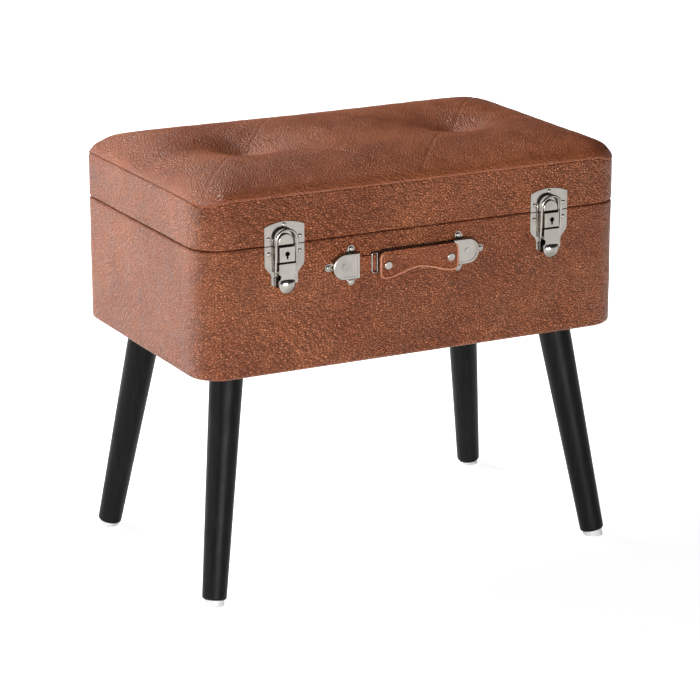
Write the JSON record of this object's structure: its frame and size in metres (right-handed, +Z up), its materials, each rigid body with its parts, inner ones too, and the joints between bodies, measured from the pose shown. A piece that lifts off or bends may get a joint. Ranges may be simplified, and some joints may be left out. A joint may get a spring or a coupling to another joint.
{
  "type": "storage ottoman",
  "caption": "Storage ottoman styled as a suitcase: padded leather box with a tufted hinged lid, draw latches, a sliding handle and splayed tapered legs.",
  "frame": {"origin": "on the floor under the middle of the box", "axes": "+X to the right along the front, +Y to the back, +Z up"},
  "size_m": [0.5, 0.3284, 0.4535],
  "materials": {
    "leather": "grained, satin",
    "foam": "soft foam",
    "cloth": "matt black cloth",
    "leg_lacquer": "satin black lacquer",
    "glide": "white",
    "zinc": "zinc plated",
    "timber": "raw board",
    "nickel": "nickel plated"
  },
  "bodies": {
    "base": {"base_front_board": "timber", "base_back_board": "timber", "base_left_board": "timber", "base_right_board": "timber", "base_corner_posts": "timber", "base_bottom_board": "timber", "base_wadding": "foam", "base_cover": "leather", "base_lining": "cloth", "base_dust_cover": "cloth", "leg_plates": "zinc", "leg_plate_screws": "zinc", "leg_front_left": "leg_lacquer", "leg_front_right": "leg_lacquer", "leg_back_left": "leg_lacquer", "leg_back_right": "leg_lacquer", "leg_bolts": "zinc", "leg_glides": "glide", "latch_left_base_plate": "nickel", "latch_right_base_plate": "nickel", "latch_left_lock_case": "nickel", "latch_right_lock_case": "nickel", "latch_lever_pins": "nickel", "latch_base_rivets": "nickel", "handle_left_cap": "nickel", "handle_right_cap": "nickel", "handle_cap_screws": "nickel", "hinge_left_base_leaf": "nickel", "hinge_right_base_leaf": "nickel", "hinge_pins": "nickel", "hinge_base_screws": "nickel"},
    "lid": {"lid_top_board": "timber", "lid_front_rail": "timber", "lid_back_rail": "timber", "lid_left_rail": "timber", "lid_right_rail": "timber", "lid_corner_posts": "timber", "lid_wadding": "foam", "lid_border_cover": "leather", "lid_foam_pad": "foam", "lid_top_panels": "leather", "lid_lining": "cloth", "tuft_ties": "cloth", "tuft_washers": "zinc", "latch_left_strike": "nickel", "latch_right_strike": "nickel", "latch_strike_rivets": "nickel", "hinge_left_lid_leaf": "nickel", "hinge_right_lid_leaf": "nickel", "hinge_lid_screws": "nickel"},
    "left_lever": {"latch_left_lever": "nickel"},
    "right_lever": {"latch_right_lever": "nickel"},
    "left_loop": {"latch_left_loop": "nickel"},
    "right_loop": {"latch_right_loop": "nickel"},
    "handle": {"handle_strap": "leather", "handle_rivets": "nickel", "handle_hoops": "nickel", "handle_tabs": "leather"}
  },
  "joints": [
    {"name": "lid_hinge", "type": "hinge", "parent": "base", "child": "lid", "pos_m": [0, 0.1584, 0.381], "axis": [-1, 0, 0], "range_deg": [0, 100]},
    {"name": "left_lever_hinge", "type": "hinge", "parent": "base", "child": "left_lever", "pos_m": [-0.156, -0.1596, 0.3597], "axis": [-1, 0, 0], "range_deg": [0, 100]},
    {"name": "left_loop_hinge", "type": "hinge", "parent": "left_lever", "child": "left_loop", "pos_m": [-0.156, -0.1594, 0.3545], "axis": [-1, 0, 0], "range_deg": [-100, 0]},
    {"name": "right_lever_hinge", "type": "hinge", "parent": "base", "child": "right_lever", "pos_m": [0.156, -0.1596, 0.3597], "axis": [-1, 0, 0], "range_deg": [0, 100]},
    {"name": "right_loop_hinge", "type": "hinge", "parent": "right_lever", "child": "right_loop", "pos_m": [0.156, -0.1594, 0.3545], "axis": [-1, 0, 0], "range_deg": [-100, 0]},
    {"name": "handle_slide", "type": "slide", "parent": "base", "child": "handle", "axis": [1, 0, 0], "range_m": [-0.0246, 0]}
  ],
  "couplings": [
    {"joint": "left_loop_hinge", "follows": "left_lever_hinge", "ratio": -1},
    {"joint": "right_loop_hinge", "follows": "right_lever_hinge", "ratio": -1}
  ]
}
